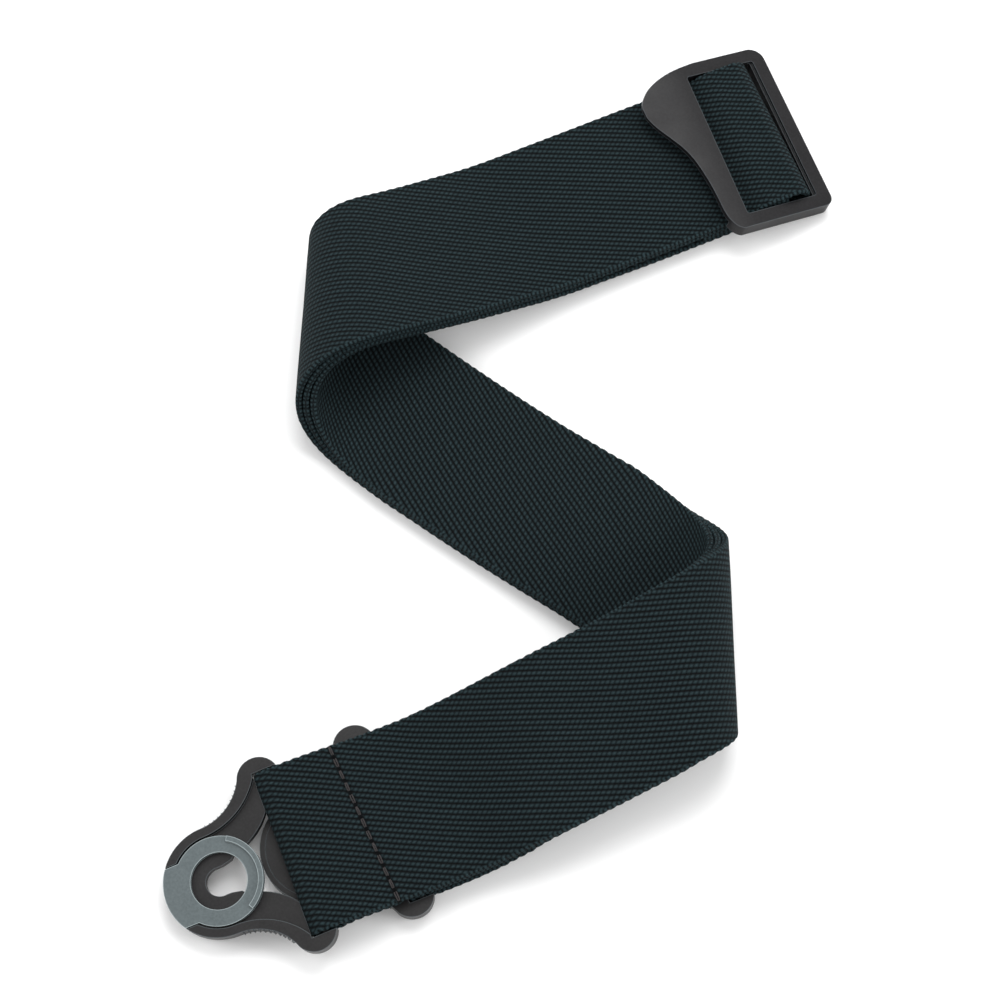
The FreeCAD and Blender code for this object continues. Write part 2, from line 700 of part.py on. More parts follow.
def end_placement(frame, inwards, end_x, end_z):
    """Placement of the flat end frame: x along the webbing, origin on the floor."""
    _, point, along, across, normal, _ = frame
    x_axis = along * inwards
    y_axis = normal.cross(x_axis)
    return axes_placement(point - x_axis * end_x - normal * end_z, x_axis, y_axis, normal)


def placements(lock_end, slider_end):
    """Where the two locks and the slider lie, each hung on its own bar."""
    from_bar = Placement(Vector(-LOCK_BAR_X, 0, -LOCK_BAR_Z), Rotation())
    nose_down = Rotation(Y, -TOP_LOCK_TILT)
    top_bar = Placement(Vector(LOCK_BAR_X, 0, TOP_LOCK_BAR_Z), nose_down)

    # the lower lock lies face down, its nose on the floor and its bar held up by the loop
    drop = UNDER_LOCK_BAR_Z - LOCK_BAR_Z - FLOOR_GAP
    face_down = Rotation(Y, -math.degrees(math.asin(drop / (LOCK_BAR_X + NOSE_R))))
    face_down = face_down.multiply(Rotation(X, 180))
    under_bar = Placement(Vector(LOCK_BAR_X + LOCK_OVERLAP, 0, UNDER_LOCK_BAR_Z), face_down)

    slider_bar = Placement(Vector(SLIDER_BAR_X, 0, SLIDER_BAR_Z), Rotation(Y, SLIDER_TILT))
    return (lock_end.multiply(top_bar).multiply(from_bar),
            lock_end.multiply(under_bar).multiply(from_bar),
            slider_end.multiply(slider_bar))


def export_lock(name, placement):
    parts = {"frame": lock_frame(), "back_plate": back_plate(), "gate": gate(),
             "return_springs": return_springs()}
    for piece, shape in parts.items():
        export(name + "_" + piece, placed(shape, placement))


def main():
    os.makedirs("parts", exist_ok=True)
    lock_side, slider_side = strap_sides()
    export_plies(lock_side, slider_side)

    lock_end = end_placement(lock_side[-1][-1], -1, LOCK_END_X, LOCK_END_Z)
    export("top_ply_lock_loop", placed(ribbon(lock_loop_path()), lock_end))
    export("bottom_ply_lock_loop", placed(ribbon(under_lock_loop_path()), lock_end))

    slider_end = end_placement(slider_side[-1][-1], 1, SLIDER_END_X, SLIDER_END_Z)
    export("top_ply_over_slider", placed(ribbon(over_slider_path()), slider_end))
    export("slider_turn", placed(ribbon(slider_turn_path()), slider_end))
    under = [straight(SLIDER_END_X, SLIDER_TURN_X, FLOOR_PLY_Z)]
    export("bottom_ply_under_slider", placed(ribbon(under), slider_end))
    export("inner_ply_slider_loop", placed(ribbon(slider_loop_path()), slider_end))

    top_lock, under_lock, slider = placements(lock_end, slider_end)
    export_lock("lock_1", top_lock)
    export_lock("lock_2", under_lock)
    export("slider", placed(slider_frame(), slider))


main()
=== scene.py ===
# %% [markdown]
# # A guitar strap, folded in a Z
#
# One length of twill webbing, 50 mm wide, goes to and fro three plies deep between a slider
# and two moulded locks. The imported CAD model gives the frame: where every piece is and what
# moves with what. This script dresses it: it weaves the webbing, sews its seam, rounds the
# mouldings and gives each piece its finish.

import json
import math

import bmesh
import bpy
import numpy as np
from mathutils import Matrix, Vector


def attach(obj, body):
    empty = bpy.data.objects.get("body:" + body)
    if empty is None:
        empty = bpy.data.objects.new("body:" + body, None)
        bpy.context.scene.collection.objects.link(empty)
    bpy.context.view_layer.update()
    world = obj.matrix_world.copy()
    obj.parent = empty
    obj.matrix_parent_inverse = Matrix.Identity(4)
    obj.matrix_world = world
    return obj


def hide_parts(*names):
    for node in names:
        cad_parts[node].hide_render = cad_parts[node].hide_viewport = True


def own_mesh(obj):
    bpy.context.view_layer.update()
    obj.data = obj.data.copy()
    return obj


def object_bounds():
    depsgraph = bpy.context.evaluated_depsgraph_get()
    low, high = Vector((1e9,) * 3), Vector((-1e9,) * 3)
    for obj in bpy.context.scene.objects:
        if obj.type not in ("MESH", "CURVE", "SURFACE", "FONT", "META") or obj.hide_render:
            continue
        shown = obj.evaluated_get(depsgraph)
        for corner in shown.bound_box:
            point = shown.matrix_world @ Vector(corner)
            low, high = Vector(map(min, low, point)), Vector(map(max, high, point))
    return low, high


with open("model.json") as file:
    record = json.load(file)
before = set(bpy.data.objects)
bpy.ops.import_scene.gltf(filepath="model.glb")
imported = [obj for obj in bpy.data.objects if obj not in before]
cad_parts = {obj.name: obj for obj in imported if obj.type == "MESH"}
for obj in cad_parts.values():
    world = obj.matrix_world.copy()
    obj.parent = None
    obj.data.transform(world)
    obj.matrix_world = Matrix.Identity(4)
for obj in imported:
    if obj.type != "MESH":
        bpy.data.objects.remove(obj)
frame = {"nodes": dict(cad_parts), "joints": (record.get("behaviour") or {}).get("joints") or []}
cad_low, cad_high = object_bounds()
MM = 0.001
scene = bpy.context.scene
print("CAD box, mm:", [round(v / MM, 1) for v in (*cad_low, *cad_high)])

# %% [markdown]
# ## The view and the light
#
# The strap is looked at from high above its near side. The floor and the surround are plain
# white. Most light comes from the surround, as in a light tent; one large soft lamp stands
# above and behind, and a smaller one on each side, so the slider's crowned wing shines, the
# cloth lightens where it turns over, and the near faces stay a little darker.

# %% Camera
VIEW_CENTRE = Vector((-4.03, -6.41, 0.0)) * MM
VIEW_DISTANCE = 784.0 * MM
VIEW_ELEVATION = math.radians(70.0)


def add_camera():
    """A camera on the ray from the view's centre, back towards -Y and up at the elevation."""
    data = bpy.data.cameras.new("strap_camera")
    data.sensor_width = 36.0
    data.lens = 93.6
    data.clip_end = 10.0
    camera = bpy.data.objects.new("strap_camera", data)
    back = Vector((0.0, -math.cos(VIEW_ELEVATION), math.sin(VIEW_ELEVATION)))
    camera.location = VIEW_CENTRE + back * VIEW_DISTANCE
    camera.rotation_euler = (-back).to_track_quat("-Z", "Y").to_euler()
    scene.collection.objects.link(camera)
    scene.camera = camera
    return camera


print("camera at, mm:", [round(v / MM) for v in add_camera().location])


# %% A node, and a colour
def add(tree, kind, settings=None, links=None):
    """One shader node: its settings by name, its inputs as values or as other outputs."""
    node = tree.nodes.new(kind)
    for name, value in (settings or {}).items():
        setattr(node, name, value)
    for name, value in (links or {}).items():
        if isinstance(value, bpy.types.NodeSocket):
            tree.links.new(value, node.inputs[name])
        else:
            node.inputs[name].default_value = value
    return node


def linear(hex_colour):
    """sRGB hex to linear RGBA: c/12.92 below 0.04045, else ((c + 0.055) / 1.055) ** 2.4."""
    c = np.array([int(hex_colour[i:i + 2], 16) for i in (1, 3, 5)]) / 255
    low, high = c / 12.92, ((c + 0.055) / 1.055) ** 2.4
    return (*np.where(c <= 0.04045, low, high), 1.0)


def new_material(name):
    """An empty material with a Principled shader wired to its output."""
    material = bpy.data.materials.new(name)
    material.use_nodes = True
    tree = material.node_tree
    tree.nodes.clear()
    shader = add(tree, "ShaderNodeBsdfPrincipled")
    add(tree, "ShaderNodeOutputMaterial", links={"Surface": shader.outputs[0]})
    return material, tree, shader


# %% Helpers for shader trees
def maths(tree, operation, a, b=0.0):
    """One arithmetic node; a and b are numbers or outputs."""
    return add(tree, "ShaderNodeMath", {"operation": operation}, {0: a, 1: b}).outputs[0]


def noise(tree, vector, size_mm, detail):
    """Noise whose features are about size_mm wide."""
    return add(tree, "ShaderNodeTexNoise", None, {
        "Vector": vector, "Scale": 1.0 / (size_mm * MM), "Detail": detail}).outputs["Fac"]


def blend(tree, share, first, second):
    """The first colour where share is 0 and the second where it is 1."""
    return add(tree, "ShaderNodeMix", {"data_type": "RGBA"}, {0: share, 6: first, 7: second}).outputs[2]


def emboss(tree, shader, height, depth_mm, strength):
    """Bump: the height output, depth_mm deep, turns the shader's normal."""
    bump = add(tree, "ShaderNodeBump", None, {
        "Strength": strength, "Distance": depth_mm * MM, "Height": height})
    tree.links.new(bump.outputs[0], shader.inputs["Normal"])


# %% Floor, surround and lamps
def add_floor():
    """A square of white card under the strap, well past the view on every side."""
    mesh = bpy.data.meshes.new("card_floor")
    reach, z = 3.0, float(cad_low.z) - 0.1 * MM
    mesh.from_pydata([(-reach, -reach, z), (reach, -reach, z), (reach, reach, z), (-reach, reach, z)],
                     [], [(0, 1, 2, 3)])
    floor = bpy.data.objects.new("card_floor", mesh)
    material, _, shader = new_material("white_card")
    shader.inputs["Base Color"].default_value = linear("#F4F4F4")
    shader.inputs["Roughness"].default_value = 0.9
    shader.inputs["Specular IOR Level"].default_value = 0.1
    mesh.materials.append(material)
    scene.collection.objects.link(floor)


def add_surround(fill):
    """A sky that lights with the strength fill, and is plain white wherever it is seen, either
    by the camera or in a reflection or through glass."""
    world = bpy.data.worlds.new("surround")
    scene.world = world
    world.use_nodes = True
    tree = world.node_tree
    tree.nodes.clear()
    path = add(tree, "ShaderNodeLightPath")
    soft = add(tree, "ShaderNodeBackground", links={"Color": linear("#FFFFFF"), "Strength": fill})
    seen = add(tree, "ShaderNodeBackground", links={"Color": linear("#FFFFFF"), "Strength": 1.0})
    looked_at = maths(tree, "MAXIMUM", path.outputs["Is Camera Ray"], path.outputs["Is Glossy Ray"])
    looked_at = maths(tree, "MAXIMUM", looked_at, path.outputs["Is Transmission Ray"])
    either = add(tree, "ShaderNodeMixShader", links={0: looked_at, 1: soft.outputs[0], 2: seen.outputs[0]})
    add(tree, "ShaderNodeOutputWorld", links={"Surface": either.outputs[0]})


def add_softbox(name, place, aim, size, watts):
    """A square area lamp at place, turned to aim, both in metres."""
    data = bpy.data.lights.new(name, "AREA")
    data.shape = "SQUARE"
    data.size = size
    data.energy = watts
    lamp = bpy.data.objects.new(name, data)
    lamp.location = place
    lamp.rotation_euler = (Vector(aim) - Vector(place)).to_track_quat("-Z", "Y").to_euler()
    scene.collection.objects.link(lamp)


add_floor()
add_surround(fill=0.8)
add_softbox("far_softbox", (0.12, 0.62, 1.0), (0, 0, 0), 0.7, 9.0)
add_softbox("left_softbox", (-0.9, 0.1, 0.6), (0, 0, 0), 0.5, 4.0)
add_softbox("right_softbox", (0.9, -0.15, 0.45), (0, 0, 0), 0.5, 5.0)
scene.view_settings.view_transform = "Standard"

# %% [markdown]
# ## The folded strip
#
# Cloth bends but hardly stretches, so the folded strap is a developable surface: narrow flat
# facets, each creased against the next along a straight ruling. The walk below repeats the
# CAD model's own walk, from the middle of the middle run out to each side, and keeps for
# each ruling its middle point, the half width along the ruling and the way out of the cloth.

# %% Sizes of the webbing and of the things it goes round
WIDTH, THICK, PLY_GAP, MOVE_GAP = 50.0, 2.0, 0.2, 0.3
HALF, PITCH, FLOOR_PLY_Z = WIDTH / 2, THICK + PLY_GAP, THICK / 2
BAR_LOOP_R = 1.3 + MOVE_GAP + THICK / 2
MIDDLE, HEADING = (15.96, -14.77, FLOOR_PLY_Z), math.radians(-32.73)
LOCK_SIDE = dict(
    flat=33.0, turn=65.1, run=80.25,
    turn_bend=3.249, run_bends=(-0.1316, 0.3419, -0.3643),
    flat_lean=-0.509, turn_leans=(-0.805, -0.321), run_leans=(-0.068, -0.384, 0.162),
    drifts=(2.00, -1.46, -1.26), twist=0.0093)
SLIDER_SIDE = dict(
    flat=74.0, turn=65.5, run=91.59,
    turn_bend=3.380, run_bends=(-0.0861, -0.210, -0.0213),
    flat_lean=-0.505, turn_leans=(-0.782, -0.288), run_leans=(0.081, 0.274, 0.119),
    drifts=(1.12, -0.45, -0.19), twist=0.0452)
LOCK_END_X, LOCK_END_Z, LOCK_BAR_X, TOP_LOCK_BAR_Z = 57.0, 9.0, 22.9, 8.45
LOCK_OVERLAP, LOCK_FLAP_END = 29.0, 46.0
LOCK_RAMP, FLAP_RAMP, SLIDER_RAMP = (4.0, 3.0), (1.0, 11.0), (-10.0, 0.0)
LEAN_EASE, DRIFT_EASE = 20.0, 5.0
FLAT_STEP, TURN_STEP, RUN_FACETS = 6.0, 2.2, 15
SLIDER_END_X, SLIDER_BAR_X, SLIDER_TURN_X, SLIDER_FLAP = -30.0, 2.0, 7.0, 26.0
SLIDER_END_Z = FLOOR_PLY_Z + 3 * PITCH
UNDER_LOCK_BAR_Z = FLOOR_PLY_Z + BAR_LOOP_R
SLIDER_BAR_Z = FLOOR_PLY_Z + PITCH + BAR_LOOP_R


# %% How the strip bends, leans and drifts
def turned(v, axis, angle):
    """Rodrigues' turn of v about the unit axis."""
    c, s = math.cos(angle), math.sin(angle)
    return v * c + np.cross(axis, v) * s + axis * (axis @ v) * (1 - c)


def bend_rate(side, s):
    """Radians per mm: none on the flat, half a sine over the turn, three soft bumps after."""
    start = side["flat"]
    end = start + side["turn"]
    if s < start:
        return 0.0
    if s < end:
        peak = side["turn_bend"] / side["turn"] * math.pi / 2
        return peak * math.sin(math.pi * (s - start) / side["turn"])
    third = side["run"] / 3
    part = min(int((s - end) / third), 2)
    return side["run_bends"][part] / third * (1 - math.cos(2 * math.pi * ((s - end) / third - part)))


def lean_at(side, s):
    """The ruling's lean, linear between its stops."""
    start = side["flat"]
    end, third = start + side["turn"], side["run"] / 3
    stops = [0, max(start - LEAN_EASE, 1), start, end] + [end + third * k for k in (0.5, 1.5, 2.5, 3)]
    leans = [side["flat_lean"]] * 2 + [*side["turn_leans"], *side["run_leans"], 0.0]
    return float(np.interp(s, stops, leans))


def drift_at(side, s):
    """The slow sideways curve, in radians per mm; the table's drifts are radians per metre."""
    start = side["flat"]
    end = start + side["turn"]
    stops = [0, start - DRIFT_EASE, start + DRIFT_EASE, end - DRIFT_EASE, end + DRIFT_EASE, end + side["run"]]
    return float(np.interp(s, stops, np.repeat(side["drifts"], 2))) / 1000


# %% The walk along the strip
def strip(side, point, along, across):
    """Rulings from the middle outwards, as rows (s, point, along, across, out, tan lean).

    At a crease the way out is mitred: the mean of both facets' normals over cos(half angle).
    """
    rows, s = [], 0.0
    for length, count in ((side["flat"], math.ceil(side["flat"] / FLAT_STEP)),
                          (side["turn"], math.ceil(side["turn"] / TURN_STEP)), (side["run"], RUN_FACETS)):
        step = length / count
        for _ in range(count):
            crease = s + step / 2
            normal = -np.cross(along, across)
            swing = drift_at(side, crease) * step
            twist = side["twist"] / side["run"] * step if s > side["flat"] + side["turn"] - 1e-6 else 0.0
            along = turned(along, normal, swing)
            across = turned(turned(across, normal, swing), along, twist)
            lean = lean_at(side, crease)
            ruling = across * math.cos(lean) + along * math.sin(lean)
            half = -bend_rate(side, crease) * step / 2
            out = turned(-np.cross(along, across), ruling, half) / math.cos(half)
            point = point + along * (step / 2)
            rows.append((crease, point, along, across, out, math.tan(lean)))
            along, across = turned(along, ruling, 2 * half), turned(across, ruling, 2 * half)
            point = point + along * (step / 2)
            s += step
    rows.append((s, point, along, across, -np.cross(along, across), 0.0))
    return rows


ahead = np.array([math.cos(HEADING), math.sin(HEADING), 0.0])
leftwards = np.array([-math.sin(HEADING), math.cos(HEADING), 0.0])
lock_rows = strip(LOCK_SIDE, np.array(MIDDLE), ahead, leftwards)
slider_rows = strip(SLIDER_SIDE, np.array(MIDDLE), -ahead, -leftwards)
print("rulings:", len(lock_rows), len(slider_rows))


# %% The two end frames
def end_frame(row, inwards, end_x, end_z):
    """(origin, x, y, z) of the flat frame at an end: x along the webbing, origin on the floor."""
    _, point, along, _, out, _ = row
    x = along * inwards
    return point - x * end_x - out * end_z, x, np.cross(out, x), out


lock_end = end_frame(lock_rows[-1], -1, LOCK_END_X, LOCK_END_Z)
slider_end = end_frame(slider_rows[-1], 1, SLIDER_END_X, SLIDER_END_Z)
print("lock end frame, mm:", np.round(lock_end[0], 2), "slider end frame, mm:", np.round(slider_end[0], 2))

# %% [markdown]
# ## One length of webbing
#
# The real strap is one piece of webbing from seam to seam: from the sewn flap round lock 1's
# bar, through the Z, round inside the slider's window, back through the Z, round lock 2's bar
# and once more through the Z to the slider's bar. So the route is made in that order, as one
# list of rulings, and the weave runs on without a break.


# %% Rulings of the straight end pieces
def ease(x, x0, x1, v0, v1):
    """v0 before x0, v1 after x1, with u*u*(3 - 2u) between."""
    u = np.clip((x - x0) / (x1 - x0), 0, 1)
    return v0 + (v1 - v0) * u * u * (3 - 2 * u)


def top_lock_height(x):
    """Middle of the top ply, which rises over lock 2 to lock 1's bar."""
    return ease(x, LOCK_BAR_X + LOCK_RAMP[0], LOCK_END_X - LOCK_RAMP[1], TOP_LOCK_BAR_Z + BAR_LOOP_R,
                LOCK_END_Z)


def lock_flap_height(x):
    """Middle of the sewn flap, from under the bar up against the top ply."""
    start, end = (LOCK_BAR_X + far for far in FLAP_RAMP)
    return ease(x, start, end, TOP_LOCK_BAR_Z - BAR_LOOP_R, top_lock_height(x) - PITCH)


def top_slider_height(x):
    """Middle of the top ply, which rises over the slider's bar."""
    return ease(x, *SLIDER_RAMP, SLIDER_END_Z, SLIDER_BAR_Z + BAR_LOOP_R + PITCH)


def level(x0, x1, height, outer, step=2.0, inset=0.0):
    """Columns x, z, nx, nz along a height curve, its normal turned out, moved in by inset."""
    x = np.linspace(x0, x1, max(2, round(abs(x1 - x0) / step) + 1))
    z = height(x) + 0 * x
    nudge = 0.01
    slope = (height(x + nudge) - height(x - nudge)) / (2 * nudge) + 0 * x
    size = np.hypot(slope, 1)
    nx, nz = -outer * slope / size, outer / size
    return np.column_stack([x - nx * inset, z - nz * inset, nx, nz])


def half_turn(x, z, radius, side, downwards):
    """Columns x, z, nx, nz round half a circle that bulges to side, in steps of 15 degrees."""
    angle = np.linspace(math.pi / 2, -math.pi / 2, 13)[1:-1]
    nx, nz = side * np.cos(angle), np.sin(angle)
    turn = np.column_stack([x + radius * nx, z + radius * nz, nx, nz])
    return turn if downwards else turn[::-1]


def in_frame(columns, axes):
    """Rulings (middle, half width, out) of a piece that lies straight across an end frame."""
    origin, x, y, z = axes
    middle = origin + columns[:, :1] * x + columns[:, 1:2] * z
    out = columns[:, 2:3] * x + columns[:, 3:4] * z
    return np.hstack([middle, np.tile(y * HALF, (len(columns), 1)), out, np.zeros((len(columns), 1))])


# %% Rulings of a ply
def ply(order, lock_open, slider_open, outer):
    """A ply's rulings from the lock end to the slider end, offset from the master strip.

    The offset is order * pitch and eases to the opening at each end over the run; outer is
    +1 where the webbing's outer face looks the way the strip's normal does.
    """
    ends = {"lock": (lock_rows, LOCK_SIDE, lock_open, 1),
            "slider": (slider_rows, SLIDER_SIDE, slider_open, -1)}
    halves = {}
    for name, (rows, side, opened, sense) in ends.items():
        s = np.array([r[0] for r in rows])
        point, along, across, out = (np.array([r[k] for r in rows]) for k in (1, 2, 3, 4))
        lean = np.array([r[5] for r in rows])[:, None]
        end = s[-1]
        offset = -ease(s, end - side["run"], end, order * PITCH, opened)[:, None]
        unit = out / np.linalg.norm(out, axis=1, keepdims=True)
        halves[name] = np.hstack([point + out * offset, sense * HALF * (across + along * lean),
                                  outer * unit, -outer * lean * HALF])
    return np.vstack([halves["lock"][::-1][1:], halves["slider"][:-1]])


top_ply = ply(0, 0.0, 0.0, 1)
inner_ply = ply(1, LOCK_END_Z - UNDER_LOCK_BAR_Z - BAR_LOOP_R, PITCH, 1)
bottom_ply = ply(2, LOCK_END_Z - FLOOR_PLY_Z, SLIDER_END_Z - FLOOR_PLY_Z, -1)

# %% The whole route, seam to seam
SEAM_X, SEAM_SLANT, FIRST_STITCH, STITCH_PITCH, STITCH_LENGTH = 42.3, 0.06, -24.6, 3.85, 3.15
under_bar_x = LOCK_BAR_X + LOCK_OVERLAP
turn_high = float(top_slider_height(SLIDER_TURN_X))
legs = [
    in_frame(level(LOCK_FLAP_END, LOCK_BAR_X, lock_flap_height, -1), lock_end),
    in_frame(half_turn(LOCK_BAR_X, TOP_LOCK_BAR_Z, BAR_LOOP_R, -1, False), lock_end),
    in_frame(level(LOCK_BAR_X, LOCK_END_X, top_lock_height, 1), lock_end),
    top_ply,
    in_frame(level(SLIDER_END_X, SLIDER_TURN_X, top_slider_height, 1), slider_end),
    in_frame(half_turn(SLIDER_TURN_X, (turn_high + FLOOR_PLY_Z) / 2, (turn_high - FLOOR_PLY_Z) / 2, 1, True),
             slider_end),
    in_frame(level(SLIDER_TURN_X, SLIDER_END_X, lambda x: FLOOR_PLY_Z, -1), slider_end),
    bottom_ply[::-1],
    in_frame(level(LOCK_END_X, under_bar_x, lambda x: UNDER_LOCK_BAR_Z - BAR_LOOP_R, -1), lock_end),
    in_frame(half_turn(under_bar_x, UNDER_LOCK_BAR_Z, BAR_LOOP_R, -1, False), lock_end),
    in_frame(level(under_bar_x, LOCK_END_X, lambda x: UNDER_LOCK_BAR_Z + BAR_LOOP_R, 1), lock_end),
    inner_ply,
    in_frame(level(SLIDER_END_X, SLIDER_BAR_X, top_slider_height, 1, inset=PITCH), slider_end),
    in_frame(half_turn(SLIDER_BAR_X, SLIDER_BAR_Z, BAR_LOOP_R, 1, True), slider_end),
    in_frame(level(SLIDER_BAR_X, SLIDER_BAR_X - SLIDER_FLAP, lambda x: SLIDER_BAR_Z - BAR_LOOP_R, -1),
             slider_end),
]
route = np.vstack(legs)
leg_starts = np.cumsum([0] + [len(leg) for leg in legs[:-1]])
travelled = np.concatenate([[0], np.cumsum(np.linalg.norm(np.diff(route[:, :3], axis=0), axis=1))])
seam_at = travelled[leg_starts[2]] + SEAM_X - LOCK_BAR_X
reverse_from, reverse_to = travelled[leg_starts[6]], travelled[leg_starts[9]]
print("rulings:", len(route), "length of webbing, mm:", round(travelled[-1], 1))


# %% A smooth strip through the rulings
def hermite(columns, at, where):
    """Cubic Hermite interpolation of columns given at the stations at, with the slopes of
    np.gradient, so the surface goes smoothly through every crease."""
    slope = np.gradient(columns, at, axis=0)
    i = np.clip(np.searchsorted(at, where, side="right") - 1, 0, len(at) - 2)
    gap = (at[i + 1] - at[i])[:, None]
    u = ((where - at[i]) / gap[:, 0])[:, None]
    return (columns[i] * (2 * u ** 3 - 3 * u ** 2 + 1) + slope[i] * gap * (u ** 3 - 2 * u ** 2 + u)
            + columns[i + 1] * (3 * u ** 2 - 2 * u ** 3) + slope[i + 1] * gap * (u ** 3 - u ** 2))


keep = np.concatenate([[True], np.diff(travelled) > 1e-3])
stations = np.linspace(0, travelled[-1], round(travelled[-1] / 0.7) + 1)
fine = hermite(route[keep], travelled[keep], stations)
fine_out = fine[:, 6:9] / np.linalg.norm(fine[:, 6:9], axis=1, keepdims=True)
print("fine stations:", len(stations))

# %% [markdown]
# ## The webbing's own shape
#
# Woven webbing is about 2 mm thick, with a rounded selvedge where the weft turns back every
# 2.8 mm and pulls the edge into small scallops. The cross-section is a flat oval profile
# swept along the strip; the scallops come from a gentle in-and-out of the half width.


# %% Cross-section and sweep
SCALLOP_PITCH, SCALLOP_DEPTH, EDGE_ROUND = 2.8, 0.35, 0.85
PUFF, SEAM_GROOVE = 0.35, 0.3


def webbing_profile(face_columns=9, edge_columns=6):
    """Closed loop (u, w, face): u across from -1 to 1, w the height in half thicknesses.

    The faces are straight; each edge is half a superellipse, so the edge is full but round.
    """
    inset = EDGE_ROUND / HALF
    face = np.linspace(-1 + inset, 1 - inset, face_columns)
    angle = np.linspace(math.pi / 2, -math.pi / 2, edge_columns + 2)[1:-1]
    bulge = np.abs(np.cos(angle)) ** 0.8 * inset
    rise = np.sign(np.sin(angle)) * np.abs(np.sin(angle)) ** 0.8
    u = np.concatenate([face, 1 - inset + bulge, face[::-1], -1 + inset - bulge])
    w = np.concatenate([np.ones_like(face), rise, -np.ones_like(face), -rise])
    return u, w


def sweep_webbing():
    """Point (s, u): middle + half_width u + outward w t/2, with u drawn in by the scallops
    near the edges and the surface stirred by a slow waviness of a twentieth of a millimetre.
    The outer face puffs up where the webbing turns sharply, and the seam draws it in."""
    u, w = webbing_profile()
    bend = np.linalg.norm(np.gradient(fine_out, stations, axis=0), axis=1)
    puff = PUFF * ease(bend, 0.1, 0.35, 0.0, 1.0)
    seam_line = seam_at + SEAM_SLANT * HALF * (1 - u)
    groove = SEAM_GROOVE * np.exp(-((stations[:, None] - seam_line) / 1.1) ** 2)
    swell = (puff[:, None] - groove) * np.clip(w, 0, 1)
    along = stations[:, None] + fine[:, 9:10] * u
    scallop = SCALLOP_DEPTH * (1 - np.abs(np.sin(math.pi * along / SCALLOP_PITCH)))
    edge = np.clip((np.abs(u) - 0.93) / 0.07, 0, 1)
    reach = u * (1 - edge * scallop / HALF)
    wave = 0.05 * (np.sin(along / 7.3 + u * 2.1) + np.sin(along / 11.9 - u * 3.7 + 1.0))
    lift = w * THICK / 2 * (0.97 - 0.05 * np.abs(u) ** 8) + wave * 0.6 + swell
    points = (fine[:, None, :3] + fine[:, None, 3:6] * reach[..., None]
              + fine_out[:, None, :] * lift[..., None])
    return points, along, np.broadcast_to(u * HALF, along.shape), np.broadcast_to(w, along.shape)


web_points, web_along, web_across, web_face = sweep_webbing()
print("webbing grid:", web_points.shape[:2])


# %% Grid to mesh
def closed_tube_faces(rows, columns):
    """Quads between neighbouring rows of a grid whose columns close on themselves."""
    r, c = np.meshgrid(np.arange(rows - 1), np.arange(columns), indexing="ij")
    n = (c + 1) % columns
    corners = [r * columns + c, r * columns + n, (r + 1) * columns + n, (r + 1) * columns + c]
    return np.stack(corners, -1).reshape(-1, 4)


def tube_caps(rows, columns):
    """The two end polygons of such a grid."""
    return [list(range(columns)), list(range((rows - 1) * columns, rows * columns))[::-1]]


def make_mesh(name, points, quads, caps=()):
    """A mesh object at the origin from points in mm, quads and end polygons."""
    mesh = bpy.data.meshes.new(name)
    faces = [tuple(q) for q in quads.tolist()] + [tuple(c) for c in caps]
    mesh.from_pydata((points.reshape(-1, 3) * MM).tolist(), [], faces)
    mesh.update()
    mesh.shade_smooth()
    thing = bpy.data.objects.new(name, mesh)
    scene.collection.objects.link(thing)
    return thing


def make_tubes(name, grids):
    """One mesh of several closed tubes, each a grid of the same size, with outward faces."""
    rows, columns = grids[0].shape[:2]
    starts = [rows * columns * k for k in range(len(grids))]
    quads = np.concatenate([closed_tube_faces(rows, columns) + start for start in starts])
    caps = [[start + i for i in cap] for start in starts for cap in tube_caps(rows, columns)]
    thing = make_mesh(name, np.concatenate([g.reshape(-1, 3) for g in grids]), quads, caps)
    joined = bmesh.new()
    joined.from_mesh(thing.data)
    bmesh.ops.recalc_face_normals(joined, faces=joined.faces)
    joined.to_mesh(thing.data)
    joined.free()
    return thing


grid_size = web_points.shape[:2]
webbing = make_mesh("webbing", web_points, closed_tube_faces(*grid_size), tube_caps(*grid_size))
checker = bmesh.new()
checker.from_mesh(webbing.data)
volume = checker.calc_volume(signed=True)
if volume < 0:
    bmesh.ops.reverse_faces(checker, faces=checker.faces)
    checker.to_mesh(webbing.data)
checker.free()
print("webbing volume, cm3:", round(abs(volume) * 1e6, 1), "was inside out:", volume < 0)


# %% Where the weave lies
def lay_weave(thing, along, across, face):
    """Stores each point's place on the flat webbing, in metres: x along it, y across it, with
    y turned over on the back, so that the ribs lean the same way seen from either face. z is
    the share of the half width, and negative on the back and along the bottom ply, which
    shows the weave's reverse."""
    flat = np.stack([along, np.where(face < 0, -across, across)], -1).reshape(-1, 2) * MM
    layer = thing.data.attributes.new("cloth", "FLOAT_VECTOR", "POINT")
    edge = np.abs(across).reshape(-1) / HALF
    reversed_ply = (along > reverse_from) & (along < reverse_to)
    side = np.where((face < 0) != reversed_ply, -1.0, 1.0).reshape(-1)
    layer.data.foreach_set("vector", np.column_stack([flat, edge * side]).ravel())


lay_weave(webbing, web_along, web_across, web_face)
PLY_NAMES = ("top_ply", "inner_ply", "bottom_ply", "slider_turn")
strap_nodes = [n for n in frame["nodes"] if n.startswith(PLY_NAMES)]
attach(webbing, "webbing")
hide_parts(*strap_nodes)
print("webbing stands for", len(strap_nodes), "CAD nodes")
